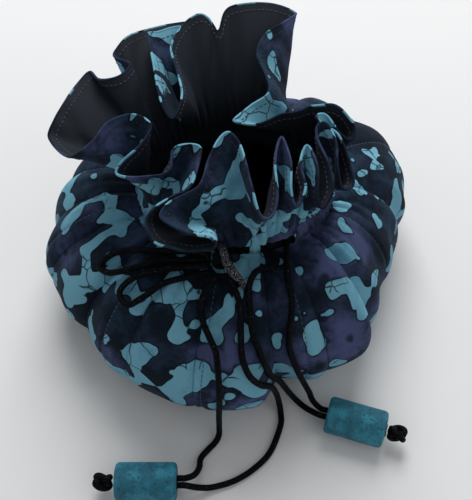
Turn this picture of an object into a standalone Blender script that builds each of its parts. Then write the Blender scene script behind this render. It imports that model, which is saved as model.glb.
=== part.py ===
# Drawstring jewelry pouch, gathered at a cord channel, with a frill above it.
# Metres, +Z up, the origin under the middle of the flat base, the front towards -Y.
import math

import bpy
import numpy as np

MM = 0.001

# Cloth
CLOTH = 0.0004
SEAM_GAP = 0.0003
BODY_HALF_WIDTH = 0.0765
BODY_HALF_DEPTH = 0.0680
BODY_HEIGHT = 0.0600
BASE_HALF_WIDTH = 0.0500
BASE_HALF_DEPTH = 0.0440
FOLD_DEPTH = 0.0042
NECK_X = 0.0020
NECK_Y = 0.0010
NECK_HALF_WIDTH = 0.0360
NECK_HALF_DEPTH = 0.0270
CHANNEL_SINK = 0.0005
CHANNEL_PLEAT = 0.0010
CHANNEL_EASE = 0.0010
FRILL_HEIGHT = 0.0380
FRILL_REACH = 0.0714
POCKET_HEIGHT = 0.0350
POCKET_INNER_SHARE = 0.55

# Cords, the beads they run through and their knots
CORD = 0.0025
CORD_GAP = 0.0003
CORD_STEP = 0.0070
RING_STEPS = 32
EXIT_BEND = 0.0050
EXIT_TURN = 60
BEAD_LENGTH = 0.0240
BEAD_DIAMETER = 0.0150
BEAD_EDGE = 0.0016
BEAD_LEAD = 0.0030
BEAD_LEFT_END = (-0.0210, -0.0990)
BEAD_LEFT_TURN = 180
BEAD_RIGHT_END = (0.0390, -0.0710)
BEAD_RIGHT_TURN = -17
KNOT_SIZE = (0.0080, 0.0066, 0.0086)
KNOT_ROUND = 0.0018
KNOT_MIDDLE = (-0.0030, -0.0330, 0.0652)
END_KNOT_LENGTH = 0.0080
END_KNOT_DIAMETER = 0.0078

# Valleys between the puffs of the body: azimuth in degrees from +X, and depth as a share of FOLD_DEPTH
VALLEYS = (
    (8, 0.4), (27, 0.35), (47, 0.5), (66, 0.55), (86, 0.6), (105, 0.6), (124, 0.6), (143, 0.6), (160, 0.55),
    (178, 0.55), (196, 0.75), (217, 1.2), (238, 0.8), (258, 1.0), (284, 1.1), (300, 1.0), (322, 1.15), (345, 0.5),
)
COLUMNS_A_PUFF = 4

# The filling bulges the body out of its ellipse: azimuth, and how far at the widest in millimetres
BULGES = (
    (7, -3.5), (14, 2.0), (28, 9.0), (42, 13.0), (58, 12.0), (80, 6.5), (110, 5.0), (150, 1.0), (178, 0.0),
    (193, 2.5), (205, 1.0), (219, -1.0), (239, 5.5), (248, 5.0), (260, 7.5), (276, 6.0), (289, -4.0), (300, 0.0),
    (313, 1.0), (325, -4.5), (338, -9.0), (351, -8.0),
)
BASE_BULGE_SHARE = 0.4
BULGE_FADE = 0.0220

# The body's rows from the base up: the share of its height, the share of the way from the neck's
# outline (0) to the body's widest (1), and the share of the fold depth.
BODY_ROWS = (
    (0.02, 0.560, 0.10),
    (0.11, 0.805, 0.35),
    (0.28, 0.963, 0.60),
    (0.48, 1.000, 0.80),
    (0.68, 0.915, 0.95),
    (0.85, 0.720, 1.00),
    (0.97, 0.440, 0.90),
    (1.00, 0.195, 0.65),
    (0.98, 0.050, 0.35),
)
# Rows of the frill, as shares of the way from the channel to the hem
FRILL_ROWS = (0.3, 0.56, 0.8, 1.0)

# The hem of the frill, from the left lobe round by the front: the azimuth of the gather that each
# point runs down to, then where it lies from the neck's middle at the channel's top, in millimetres.
HEM = (
    (184, -61, -4, 22), (188, -52, -3, 29), (192, -46, 3, 33), (195, -37, 5, 35), (198, -30, -1, 36), (200, -33, -7, 34),
    (203, -41, -13, 30), (206, -42, -17, 28), (209, -33, -20, 30), (213, -24, -18, 32), (216, -22, -11, 34), (219, -18, -9, 35),
    (222, -13, -9, 34), (225, -13, -14, 33), (227, -18, -21, 32), (229, -27, -27, 31), (231, -31, -34, 27), (233, -28, -40, 23),
    (236, -19, -44, 23), (239, -11, -46, 23), (243, -8, -44, 24), (248, -10, -40, 25), (252, -14, -37, 26), (256, -19, -33, 28),
    (260, -19, -29, 29), (263, -13, -24, 31), (265, -9, -18, 34), (267, -6, -12, 36), (269, -3, -6, 37), (271, 2, -12, 38),
    (276, 5, -25, 36), (279, 8, -36, 31), (282, 12, -37, 31), (284, 14, -31, 34), (287, 14, -18, 37), (290, 16, -8, 38),
    (293, 19, -17, 36), (295, 19, -27, 33), (298, 21, -33, 31), (301, 24, -27, 34), (303, 22, -18, 36), (306, 25, -11, 37),
    (308, 28, -19, 35), (310, 28, -29, 31), (313, 30, -32, 29), (315, 33, -27, 32), (318, 32, -18, 35), (321, 29, -9, 37),
    (324, 29, -3, 38), (327, 32, -2, 38), (330, 35, -9, 36), (333, 36, -17, 33), (336, 37, -24, 29), (339, 41, -22, 28),
    (342, 41, -16, 29), (345, 39, -9, 32), (348, 36, -4, 35), (351, 31, 0, 35), (353, 29, 5, 34), (355, 33, 7, 32),
    (357, 38, 1, 29), (359, 42, -1, 28), (362, 43, 4, 30), (366, 38, 10, 33), (372, 31, 11, 33), (382, 17, 7, 32), (388, 7, 4, 31), (394, -1, 5, 31),
    (398, 5, 12, 31), (402, 12, 17, 33), (406, 11, 27, 34), (410, 8, 37, 34), (414, 12, 47, 34), (417, 18, 54, 32),
    (422, 24, 63, 29), (430, 14, 66, 31), (437, 3, 62, 35), (444, -4, 60, 33), (450, -7, 52, 30), (456, -11, 57, 32),
    (461, -15, 58, 33), (466, -21, 54, 30), (471, -25, 42, 32), (475, -22, 28, 32), (479, -20, 15, 33), (483, -23, 5, 32),
    (487, -28, 14, 32), (491, -32, 36, 31), (495, -34, 49, 30), (499, -39, 51, 31), (503, -44, 47, 27), (506, -48, 43, 25),
    (509, -41, 36, 28), (512, -45, 31, 27), (516, -53, 31, 25), (519, -57, 37, 23), (523, -61, 33, 22), (528, -65, 24, 22),
    (533, -69, 16, 20), (539, -71, 8, 17),
)
HEM_TALLEST = max(point[3] for point in HEM)
HEM_FURTHEST = max(math.hypot(point[1], point[2]) for point in HEM)

# Holes in the outer cloth's channel that the cords come out of: first and last azimuth of each
HOLE_LEFT = (258, 277.5)
HOLE_RIGHT = (284, 305.5)

# Where each cord's ring starts and stops inside the channel, as azimuths, the long way round
RING_LEFT = (280, 257)
RING_RIGHT = (307, 282.5)

# Routes of the loops of the bow and of the tails down to the beads, in millimetres
LOOP_UPPER = (
    (-7.7, -31.2, 67.2), (-15, -28.3, 64.4), (-25, -27.2, 62.4), (-33, -26.6, 61.7), (-40, -25.2, 59.4), (-46, -26.0, 57.6),
    (-50.3, -29.4, 55.2), (-47.6, -33.2, 56.0), (-42, -34.2, 58.4), (-33, -32.6, 60.9), (-25, -30.4, 61.6), (-15, -31.2, 63.2),
    (-7.7, -31.3, 64.2),
)
LOOP_LOWER = (
    (-7.7, -34.3, 65.8), (-15, -34.0, 63.4), (-24, -33.6, 61.4), (-32.4, -35.6, 60.2), (-38.5, -38.0, 58.2), (-41.8, -41.8, 55.8),
    (-37.8, -45.0, 54.6), (-31, -42.0, 56.8), (-24.5, -38.2, 59.4), (-15.5, -37.0, 62.0), (-7.7, -35.2, 62.6),
)
TAIL_LEFT_A = (
    (-5.2, -37.4, 63.2), (-8.2, -40.4, 61.2), (-10, -44, 58.8), (-9.6, -49.4, 56.0), (-7, -54.8, 53.6), (-5, -58.8, 51.0),
    (-4.2, -64.0, 46.0), (-3.9, -68.0, 38.0), (-4, -69.8, 29.0), (-4.3, -69.8, 18.0), (-4.4, -70.2, 8.0), (-4.6, -72.6, 2.2),
    (-6, -76.5, 1.4), (-8.6, -80.6, 1.4), (-12, -86.5, 1.4), (-12.6, -91.5, 2.6), (-14.4, -95.6, 5.4),
)
TAIL_LEFT_B = (
    (-0.8, -37.4, 63.4), (1, -40.4, 61.8), (3.4, -46.8, 59.6), (3.5, -54.6, 54.8), (4, -60.8, 49.4), (6.5, -65.2, 44.2),
    (10.6, -67.3, 38.9), (15.4, -67.9, 29.2), (18.6, -67.6, 16.0), (20.4, -67.8, 6.0), (21.2, -70.4, 1.6), (20.6, -75.0, 1.4),
    (15.8, -84.0, 1.4), (9.6, -91.5, 1.4), (1.6, -96.6, 1.4), (-7, -99.4, 1.9), (-12.6, -100.4, 4.6),
)
TAIL_RIGHT_C = (
    (17.0, -29.6, 62.2), (17.2, -33.0, 62.4), (14.0, -35.4, 62.4), (9.8, -36.6, 62.2), (6.8, -40.0, 61.4), (6.6, -46.7, 59.4),
    (7.6, -54.4, 54.6), (9.8, -59.2, 50.0), (12, -63.5, 45.6), (15.2, -66.4, 36.4), (19.8, -67.4, 26.2), (22.8, -66.4, 16.0),
    (25.6, -65.2, 7.0), (28.6, -65.8, 2.6), (31.6, -68.8, 4.6),
)
TAIL_RIGHT_D = (
    (21.2, -28.6, 62.3), (21.3, -33.4, 62.4), (21.5, -39.2, 61.4), (23, -46.2, 58.6), (23.4, -52.6, 54.6), (23.2, -60.8, 44.8),
    (25, -64.0, 38.0), (27.6, -66.0, 30.0), (30.4, -65.6, 20.0), (32.2, -64.2, 11.6), (33.6, -66.4, 8.8),
)

# Sizes that follow
BASE_LIFT = CLOTH + SEAM_GAP / 2
CHANNEL_BOTTOM = BODY_HEIGHT - CHANNEL_SINK
CHANNEL_TALL = 2 * CORD + 3 * CORD_GAP
CHANNEL_ROWS = (0.0, CHANNEL_EASE, CHANNEL_EASE + CHANNEL_TALL, 2 * CHANNEL_EASE + CHANNEL_TALL)
CHANNEL_TOP = CHANNEL_BOTTOM + CHANNEL_ROWS[-1]
CHANNEL_ROOM = CORD / 2 + CORD_GAP - SEAM_GAP / 2
CHANNEL_MIDDLE = CHANNEL_BOTTOM + CHANNEL_EASE + CHANNEL_TALL / 2
CORD_APART = CORD + CORD_GAP
BEAD_HOLE = CORD + CORD_APART + 2 * CORD_GAP


def clear_scene():
    for thing in list(bpy.data.objects):
        bpy.data.objects.remove(thing, do_unlink=True)


def material(name, colour, roughness, metallic=0.0):
    made = bpy.data.materials.new(name)
    made.use_nodes = True
    shader = made.node_tree.nodes["Principled BSDF"]
    shader.inputs["Base Color"].default_value = (*colour, 1.0)
    shader.inputs["Roughness"].default_value = roughness
    shader.inputs["Metallic"].default_value = metallic
    return made


def puff_columns():
    """Azimuth of each column in radians, and how deep in a valley it lies, from 0 on a ridge."""
    azimuths = []
    depths = []
    whole_turn = (VALLEYS[0][0] + 360, VALLEYS[0][1])
    for (first, deep), (second, next_deep) in zip(VALLEYS, VALLEYS[1:] + (whole_turn,)):
        for step in range(COLUMNS_A_PUFF):
            share = step / COLUMNS_A_PUFF
            azimuths.append(math.radians(first + (second - first) * share))
            depths.append((1 - math.sin(math.pi * share) ** 0.6) * (deep + (next_deep - deep) * share))
    return np.array(azimuths), np.array(depths)


def bulge_at(azimuths):
    """How far the body's widest outline stands out of its ellipse, eased between the bulges."""
    starts = [bulge[0] for bulge in BULGES] + [BULGES[0][0] + 360]
    sizes = np.array([bulge[1] for bulge in BULGES] + [BULGES[0][1]]) * MM
    degrees = (np.degrees(azimuths) - starts[0]) % 360 + starts[0]
    place = np.clip(np.searchsorted(starts, degrees, side="right") - 1, 0, len(BULGES) - 1)
    starts = np.array(starts, float)
    share = (degrees - starts[place]) / (starts[place + 1] - starts[place])
    return sizes[place] + (sizes[place + 1] - sizes[place]) * (1 - np.cos(math.pi * share)) / 2


def ellipse(azimuths, half_width, half_depth, centre_share, z, bulge_share=0):
    """A level ring; centre_share moves it from the body's middle (0) to the neck's (1)."""
    bulge = bulge_at(azimuths) * bulge_share
    return np.stack(
        [
            NECK_X * centre_share + (half_width + bulge) * np.cos(azimuths),
            NECK_Y * centre_share + (half_depth + bulge) * np.sin(azimuths),
            np.full(len(azimuths), z),
        ],
        axis=1,
    )


def base_rings(azimuths):
    inner = ellipse(azimuths, BASE_HALF_WIDTH / 2, BASE_HALF_DEPTH / 2, 0, BASE_LIFT)
    outer = ellipse(azimuths, BASE_HALF_WIDTH, BASE_HALF_DEPTH, 0, BASE_LIFT, BASE_BULGE_SHARE)
    return [inner, outer]


def body_rings(azimuths, depths):
    rings = []
    sizes = []
    for up, out, fold in BODY_ROWS:
        half_width = NECK_HALF_WIDTH + (BODY_HALF_WIDTH - NECK_HALF_WIDTH) * out
        half_depth = NECK_HALF_DEPTH + (BODY_HALF_DEPTH - NECK_HALF_DEPTH) * out
        sizes.append((half_width, half_depth, 1 - out, max(BASE_LIFT, BODY_HEIGHT * up), fold))
    for row, (half_width, half_depth, share, z, fold) in enumerate(sizes):
        before = sizes[max(row - 1, 0)]
        after = sizes[min(row + 1, len(sizes) - 1)]
        along = np.array([after[0] - before[0], after[3] - before[3]])
        outwards = np.array([along[1], -along[0]]) / np.linalg.norm(along)
        ring = ellipse(azimuths, half_width, half_depth, share, z, 1 - share)
        inward = FOLD_DEPTH * fold * depths
        ring[:, 0] -= inward * outwards[0] * np.cos(azimuths)
        ring[:, 1] -= inward * outwards[0] * np.sin(azimuths)
        ring[:, 2] -= inward * outwards[1]
        rings.append(ring)
    return rings


def channel_rings(azimuths):
    return [
        ellipse(azimuths, NECK_HALF_WIDTH, NECK_HALF_DEPTH, 1, CHANNEL_BOTTOM + up)
        for up in CHANNEL_ROWS
    ]


def hem_at(azimuth):
    """The hem's point above an azimuth in degrees, on a smooth closed curve through HEM."""
    count = len(HEM)
    azimuth = HEM[0][0] + (azimuth - HEM[0][0]) % 360
    place = sum(1 for point in HEM if point[0] <= azimuth) - 1
    turned = [(place + step) // count * 360 for step in (-1, 0, 1, 2)]
    knots = [HEM[(place + step) % count] for step in (-1, 0, 1, 2)]
    times = [knot[0] + turn for knot, turn in zip(knots, turned)]
    points = [np.array(knot[1:], float) for knot in knots]
    span = times[2] - times[1]
    leave = (points[2] - points[0]) / (times[2] - times[0]) * span
    reach = (points[3] - points[1]) / (times[3] - times[1]) * span
    t = (azimuth - times[1]) / span
    mix = (2 * t**3 - 3 * t**2 + 1, t**3 - 2 * t**2 + t, 3 * t**2 - 2 * t**3, t**3 - t**2)
    x, y, z = mix[0] * points[1] + mix[1] * leave + mix[2] * points[2] + mix[3] * reach
    return np.array(
        [
            NECK_X + x / HEM_FURTHEST * FRILL_REACH,
            NECK_Y + y / HEM_FURTHEST * FRILL_REACH,
            CHANNEL_TOP + z / HEM_TALLEST * FRILL_HEIGHT,
        ]
    )


def frill_rings(azimuths):
    """Rings from the channel's top to the hem, which rise first and then flare."""
    middles = azimuths + (np.roll(azimuths, -1) - azimuths) % (2 * math.pi) / 2
    doubled = np.stack([azimuths, middles], axis=1).reshape(-1)
    gather = ellipse(doubled, NECK_HALF_WIDTH, NECK_HALF_DEPTH, 1, CHANNEL_TOP)
    hem = np.array([hem_at(math.degrees(azimuth)) for azimuth in doubled])
    rings = []
    for share in FRILL_ROWS:
        ring = gather + (hem - gather) * share**1.6
        ring[:, 2] = gather[:, 2] + (hem[:, 2] - gather[:, 2]) * share**0.8
        rings.append(ring)
    return rings


def cloth_middle():
    """Points and triangles of the surface halfway between the outer cloth and the lining, and the
    row of each point; faces point out of the pouch."""
    azimuths, depths = puff_columns()
    narrow = base_rings(azimuths) + body_rings(azimuths, depths) + channel_rings(azimuths)
    wide = frill_rings(azimuths)
    columns = len(azimuths)
    points = [np.array([[0, 0, BASE_LIFT]])] + narrow + wide
    rows = [0] + [1 + row for row in range(len(narrow)) for _ in range(columns)]
    rows += [1 + len(narrow) + row for row in range(len(wide)) for _ in range(2 * columns)]
    faces = []
    for j in range(columns):
        faces.append((0, 1 + (j + 1) % columns, 1 + j))
    for row in range(len(narrow) - 1):
        low = 1 + row * columns
        high = low + columns
        for j in range(columns):
            k = (j + 1) % columns
            faces.append((low + j, low + k, high + k))
            faces.append((low + j, high + k, high + j))
    low = 1 + (len(narrow) - 1) * columns
    high = low + columns
    for j in range(columns):
        k = (j + 1) % columns
        faces.append((low + j, low + k, high + 2 * j + 1))
        faces.append((low + j, high + 2 * j + 1, high + 2 * j))
        faces.append((low + k, high + 2 * k, high + 2 * j + 1))
    for row in range(len(wide) - 1):
        low = high + row * 2 * columns
        above = low + 2 * columns
        for j in range(2 * columns):
            k = (j + 1) % (2 * columns)
            faces.append((low + j, low + k, above + k))
            faces.append((low + j, above + k, above + j))
    return np.concatenate(points), faces, np.array(rows)


def point_normals(points, faces):
    corners = points[np.array(faces)]
    across = np.cross(corners[:, 1] - corners[:, 0], corners[:, 2] - corners[:, 0])
    normals = np.zeros_like(points)
    for corner in range(3):
        np.add.at(normals, np.array(faces)[:, corner], across)
    return normals / np.linalg.norm(normals, axis=1)[:, None]


def mesh_object(name, points, faces, finish, group):
    used = sorted({corner for face in faces for corner in face})
    place = {old: new for new, old in enumerate(used)}
    mesh = bpy.data.meshes.new(name)
    mesh.from_pydata([tuple(points[i]) for i in used], [], [[place[i] for i in f] for f in faces])
    mesh.materials.append(finish)
    made = bpy.data.objects.new(name, mesh)
    group.objects.link(made)
    mesh.shade_smooth()
    return made


def thicken(made, thickness, side):
    """Gives an open sheet its thickness, on the outer side (1) or the inner one (-1)."""
    solidify = made.modifiers.new("Thickness", "SOLIDIFY")
    solidify.thickness = thickness
    solidify.offset = side
    solidify.use_even_offset = False


def channel_shift(azimuths, depths, side):
    """How far the channel's two middle rows stand off the cloth's middle surface, outwards (1) or
    inwards (-1), to leave room for the cords; the outer cloth also stands out between the valleys."""
    room = np.full(len(azimuths), CHANNEL_ROOM)
    if side > 0:
        room = room + CHANNEL_PLEAT * (1 - depths)
    across = np.stack([np.cos(azimuths), np.sin(azimuths), np.zeros(len(azimuths))], axis=1)
    return across * room[:, None] * side


def cut_holes(faces, azimuths, row):
    """The faces without those of one row of squares that lie in a hole."""
    columns = len(azimuths)
    low = 1 + row * columns
    dropped = set()
    for first, last in (HOLE_LEFT, HOLE_RIGHT):
        for j in range(columns):
            middle = math.degrees(azimuths[j] + azimuths[(j + 1) % columns]) / 2
            if first < middle < last:
                dropped.update((low + j, low + columns + j))
    kept = []
    for face in faces:
        in_row = min(face) >= low and max(face) < low + 2 * columns
        starts = [corner for corner in face if corner in dropped]
        lowest = min((corner - 1) % columns for corner in face)
        highest = max((corner - 1) % columns for corner in face)
        if in_row and starts and highest - lowest == 1 and low + lowest in dropped:
            continue
        kept.append(face)
    return kept


def pocket_sheet(azimuths, depths):
    """Middle surface of the pocket ring: from a ring on the base up the wall."""
    narrow = base_rings(azimuths) + body_rings(azimuths, depths)
    inner = ellipse(
        azimuths, BASE_HALF_WIDTH * POCKET_INNER_SHARE, BASE_HALF_DEPTH * POCKET_INNER_SHARE, 0, BASE_LIFT
    )
    walls = [ring for ring in narrow[1:] if ring[0, 2] < POCKET_HEIGHT]
    above = narrow[1 + len(walls)]
    share = (POCKET_HEIGHT - walls[-1][:, 2]) / (above[:, 2] - walls[-1][:, 2])
    top = walls[-1] + (above - walls[-1]) * share[:, None]
    rings = [inner] + walls + [top]
    columns = len(rings[0])
    faces = []
    for row in range(len(rings) - 1):
        low = row * columns
        for j in range(columns):
            k = (j + 1) % columns
            faces.append((low + j, low + k, low + columns + k))
            faces.append((low + j, low + columns + k, low + columns + j))
    return np.concatenate(rings), faces


def smooth_route(route, step):
    """Evenly spaced points on a smooth curve through the points of a route."""
    points = [np.array(point, float) for point in route]
    points = [2 * points[0] - points[1]] + points + [2 * points[-1] - points[-2]]
    fine = []
    for a, b, c, d in zip(points, points[1:], points[2:], points[3:]):
        for share in np.arange(0, 1, 0.05):
            fine.append(
                0.5 * (2 * b + (c - a) * share + (2 * a - 5 * b + 4 * c - d) * share**2
                + (3 * b - a - 3 * c + d) * share**3)
            )
    fine.append(points[-2])
    fine = np.array(fine)
    lengths = np.concatenate([[0], np.cumsum(np.linalg.norm(np.diff(fine, axis=0), axis=1))])
    count = max(2, round(lengths[-1] / step) + 1)
    wanted = np.linspace(0, lengths[-1], count)
    return np.stack([np.interp(wanted, lengths, fine[:, axis]) for axis in range(3)], axis=1)


def rest_on_body(route):
    """A route in metres, moved out with the body's bulges where it lies on the body or close by it."""
    moved = []
    for point in np.array(route) * MM:
        azimuth = math.atan2(point[1], point[0])
        across = np.array([math.cos(azimuth), math.sin(azimuth)])
        reach = np.linalg.norm(point[:2])
        neck = 1 / np.linalg.norm(across / (NECK_HALF_WIDTH, NECK_HALF_DEPTH))
        body = 1 / np.linalg.norm(across / (BODY_HALF_WIDTH, BODY_HALF_DEPTH))
        on_body = min(max((reach - neck) / (body - neck), 0), 1)
        beyond = min(max((reach - body) / BULGE_FADE, 0), 1)
        push = bulge_at(np.array([azimuth]))[0] * on_body * (1 - beyond)
        moved.append(point + np.array([*across, 0]) * push)
    return np.array(moved)


def ring_route(first, last, z):
    """A cord's way round the channel, with both ends bending outwards into its hole."""
    sweep = (last - first) % 360
    round_the_neck = np.radians(np.linspace(first, first + sweep, RING_STEPS + 1))
    ring = ellipse(round_the_neck, NECK_HALF_WIDTH, NECK_HALF_DEPTH, 1, z)
    ends = []
    for azimuth, way in ((round_the_neck[0], -1), (round_the_neck[-1], 1)):
        along = np.array([-NECK_HALF_WIDTH * math.sin(azimuth), NECK_HALF_DEPTH * math.cos(azimuth), 0])
        along = along / np.linalg.norm(along)
        out = np.array([along[1], -along[0], 0])
        start = ring[0] if way < 0 else ring[-1]
        bend = []
        for turn in (EXIT_TURN / 3, 2 * EXIT_TURN / 3, EXIT_TURN):
            angle = math.radians(turn)
            bend.append(start + EXIT_BEND * (math.sin(angle) * along * way + (1 - math.cos(angle)) * out))
        ends.append(bend)
    return np.array(ends[0][::-1] + list(ring) + ends[1])


def cord(name, points, finish, group):
    curve = bpy.data.curves.new(name, "CURVE")
    curve.dimensions = "3D"
    curve.bevel_depth = CORD / 2
    curve.bevel_resolution = 2
    curve.use_fill_caps = True
    spline = curve.splines.new("POLY")
    spline.points.add(len(points) - 1)
    for place, point in zip(spline.points, points):
        place.co = (*point, 1)
    curve.materials.append(finish)
    made = bpy.data.objects.new(name, curve)
    group.objects.link(made)
    return made


def tail_points(before, route, bead_end, bead_turn, beside):
    """A tail's way: an optional start, its route, then through the bead beside the other tail."""
    angle = math.radians(bead_turn)
    along = np.array([math.cos(angle), math.sin(angle), 0])
    across = np.array([-along[1], along[0], 0]) * CORD_APART / 2 * beside
    hole = np.array([*bead_end, BEAD_DIAMETER / 2]) + across
    beyond = hole + along * (BEAD_LENGTH + 2 * CORD_GAP)
    lead = hole - along * BEAD_LEAD
    parts = list(before) + list(rest_on_body(route)) + [lead, hole, beyond]
    return smooth_route(parts, CORD_STEP)


def bead(name, end, turn, finish, group):
    """A short round rod with rounded edges and a hole along it, turned from its profile."""
    half = BEAD_LENGTH / 2
    hole = BEAD_HOLE / 2
    inner = BEAD_DIAMETER / 2 - BEAD_EDGE
    profile = [(-half, hole)]
    for bend in (0, 30, 60, 90):
        angle = math.radians(bend)
        profile.append((-half + BEAD_EDGE * (1 - math.cos(angle)), inner + BEAD_EDGE * math.sin(angle)))
    profile += [(-x, r) for x, r in reversed(profile)]
    mesh = bpy.data.meshes.new(name)
    edges = [(i, (i + 1) % len(profile)) for i in range(len(profile))]
    mesh.from_pydata([(x, 0, r) for x, r in profile], edges, [])
    mesh.materials.append(finish)
    made = bpy.data.objects.new(name, mesh)
    group.objects.link(made)
    screw = made.modifiers.new("Turned", "SCREW")
    screw.axis = "X"
    screw.steps = 20
    screw.render_steps = 20
    screw.use_merge_vertices = True
    screw.merge_threshold = 0.00001
    screw.use_normal_calculate = True
    angle = math.radians(turn)
    made.rotation_euler[2] = angle
    made.location = (end[0] + half * math.cos(angle), end[1] + half * math.sin(angle), BEAD_DIAMETER / 2)
    return made


def bow_knot(finish, group):
    bpy.ops.mesh.primitive_cube_add(size=1, location=KNOT_MIDDLE)
    made = bpy.context.object
    made.name = "bow_knot"
    made.scale = KNOT_SIZE
    bpy.ops.object.transform_apply(location=False, rotation=False, scale=True)
    bevel = made.modifiers.new("Rounded", "BEVEL")
    bevel.width = KNOT_ROUND
    bevel.segments = 3
    made.data.materials.append(finish)
    move_to(made, group)


def end_knot(name, bead_end, turn, finish, group):
    """The knot that keeps a bead on, beyond the bead's far end."""
    angle = math.radians(turn)
    reach = BEAD_LENGTH + 3 * CORD_GAP + END_KNOT_LENGTH / 2
    place = (
        bead_end[0] + reach * math.cos(angle),
        bead_end[1] + reach * math.sin(angle),
        BEAD_DIAMETER / 2,
    )
    bpy.ops.mesh.primitive_uv_sphere_add(segments=14, ring_count=9, radius=0.5, location=place)
    made = bpy.context.object
    made.name = name
    made.scale = (END_KNOT_LENGTH, END_KNOT_DIAMETER, END_KNOT_DIAMETER)
    bpy.ops.object.transform_apply(location=False, rotation=False, scale=True)
    made.rotation_euler[2] = angle
    made.data.materials.append(finish)
    move_to(made, group)


def move_to(made, group):
    for old in list(made.users_collection):
        old.objects.unlink(made)
    group.objects.link(made)


def cloths(group):
    batik = material("batik_cotton", (0.06, 0.10, 0.16), 0.85)
    black = material("black_cotton", (0.012, 0.012, 0.016), 0.8)
    azimuths, depths = puff_columns()
    points, faces, rows = cloth_middle()
    normals = point_normals(points, faces)
    first = 1 + 2 + len(BODY_ROWS) + 1
    outer_points = points + normals * SEAM_GAP / 2
    inner_points = points - normals * SEAM_GAP / 2
    for row in (first, first + 1):
        outer_points[rows == row] += channel_shift(azimuths, depths, 1)
        inner_points[rows == row] += channel_shift(azimuths, depths, -1)
    open_faces = cut_holes(faces, azimuths, first - 1)
    outer = mesh_object("outer_fabric", outer_points, open_faces, batik, group)
    thicken(outer, CLOTH, 1)
    inner = mesh_object("lining", inner_points, faces, black, group)
    thicken(inner, CLOTH, -1)
    pocket_points, pocket_faces = pocket_sheet(azimuths, depths)
    inwards = point_normals(pocket_points, pocket_faces)
    pocket_points = pocket_points - inwards * (SEAM_GAP / 2 + CLOTH + SEAM_GAP)
    pocket = mesh_object("pocket_ring", pocket_points, pocket_faces, black, group)
    thicken(pocket, CLOTH, -1)


def cords(group):
    satin = material("cord_satin", (0.01, 0.01, 0.012), 0.45)
    left = ring_route(*RING_LEFT, CHANNEL_MIDDLE + CORD_APART / 2)
    right = ring_route(*RING_RIGHT, CHANNEL_MIDDLE - CORD_APART / 2)
    cord("drawstring_left", left, satin, group)
    cord("drawstring_right", right, satin, group)
    cord("bow_loop_upper", smooth_route(rest_on_body(LOOP_UPPER), CORD_STEP / 2), satin, group)
    cord("bow_loop_lower", smooth_route(rest_on_body(LOOP_LOWER), CORD_STEP / 2), satin, group)
    bow_knot(satin, group)
    along_c = (right[-1] - right[-2]) / np.linalg.norm(right[-1] - right[-2])
    along_d = (right[0] - right[1]) / np.linalg.norm(right[0] - right[1])
    start_c = [right[-1] + along_c * 3 * CORD_GAP]
    start_d = [right[0] + along_d * 3 * CORD_GAP]
    tails = (
        ("tail_left_a", [], TAIL_LEFT_A, BEAD_LEFT_END, BEAD_LEFT_TURN, -1),
        ("tail_left_b", [], TAIL_LEFT_B, BEAD_LEFT_END, BEAD_LEFT_TURN, 1),
        ("tail_right_c", start_c, TAIL_RIGHT_C, BEAD_RIGHT_END, BEAD_RIGHT_TURN, -1),
        ("tail_right_d", start_d, TAIL_RIGHT_D, BEAD_RIGHT_END, BEAD_RIGHT_TURN, 1),
    )
    for name, before, route, end, turn, beside in tails:
        cord(name, tail_points(before, route, end, turn, beside), satin, group)
    end_knot("knot_left", BEAD_LEFT_END, BEAD_LEFT_TURN, satin, group)
    end_knot("knot_right", BEAD_RIGHT_END, BEAD_RIGHT_TURN, satin, group)


def main():
    clear_scene()
    group = bpy.data.collections.new("jewelry_pouch")
    bpy.context.scene.collection.children.link(group)
    cloths(group)
    cords(group)
    teal = material("speckled_bead", (0.05, 0.22, 0.28), 0.55)
    bead("bead_left", BEAD_LEFT_END, BEAD_LEFT_TURN, teal, group)
    bead("bead_right", BEAD_RIGHT_END, BEAD_RIGHT_TURN, teal, group)


main()
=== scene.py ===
# Drawstring jewelry pouch: the looks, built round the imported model.
import math
import bpy
import numpy as np
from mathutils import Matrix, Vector


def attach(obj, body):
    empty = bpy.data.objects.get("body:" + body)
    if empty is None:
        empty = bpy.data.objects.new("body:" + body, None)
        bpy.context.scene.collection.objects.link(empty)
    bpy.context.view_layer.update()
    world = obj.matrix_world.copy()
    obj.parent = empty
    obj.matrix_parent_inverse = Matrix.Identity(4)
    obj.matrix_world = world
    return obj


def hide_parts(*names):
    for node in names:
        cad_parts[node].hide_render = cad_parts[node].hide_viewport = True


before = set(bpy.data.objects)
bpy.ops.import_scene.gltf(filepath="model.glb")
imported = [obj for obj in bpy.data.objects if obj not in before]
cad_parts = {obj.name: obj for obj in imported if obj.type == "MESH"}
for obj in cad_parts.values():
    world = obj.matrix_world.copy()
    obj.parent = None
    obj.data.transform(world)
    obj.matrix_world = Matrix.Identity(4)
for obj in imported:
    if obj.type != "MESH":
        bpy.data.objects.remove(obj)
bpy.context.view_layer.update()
mm = 0.001

# Small helpers for nodes and meshes


def newMaterial(name):
    made = bpy.data.materials.new(name)
    made.use_nodes = True
    return made, made.node_tree, made.node_tree.nodes["Principled BSDF"]


def addNode(tree, kind, **settings):
    made = tree.nodes.new(kind)
    for key, value in settings.items():
        setattr(made, key, value)
    return made


def newGroup(name, inputs, outputs):
    tree = bpy.data.node_groups.new(name, "ShaderNodeTree")
    for socketName, kind, value in inputs:
        socket = tree.interface.new_socket(socketName, in_out="INPUT", socket_type=kind)
        if value is not None:
            socket.default_value = value
    for socketName, kind in outputs:
        tree.interface.new_socket(socketName, in_out="OUTPUT", socket_type=kind)
    start = addNode(tree, "NodeGroupInput")
    end = addNode(tree, "NodeGroupOutput")
    return tree, start, end


def useGroup(tree, group, **values):
    made = addNode(tree, "ShaderNodeGroup", node_tree=group)
    for key, value in values.items():
        made.inputs[key].default_value = value
    return made


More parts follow.
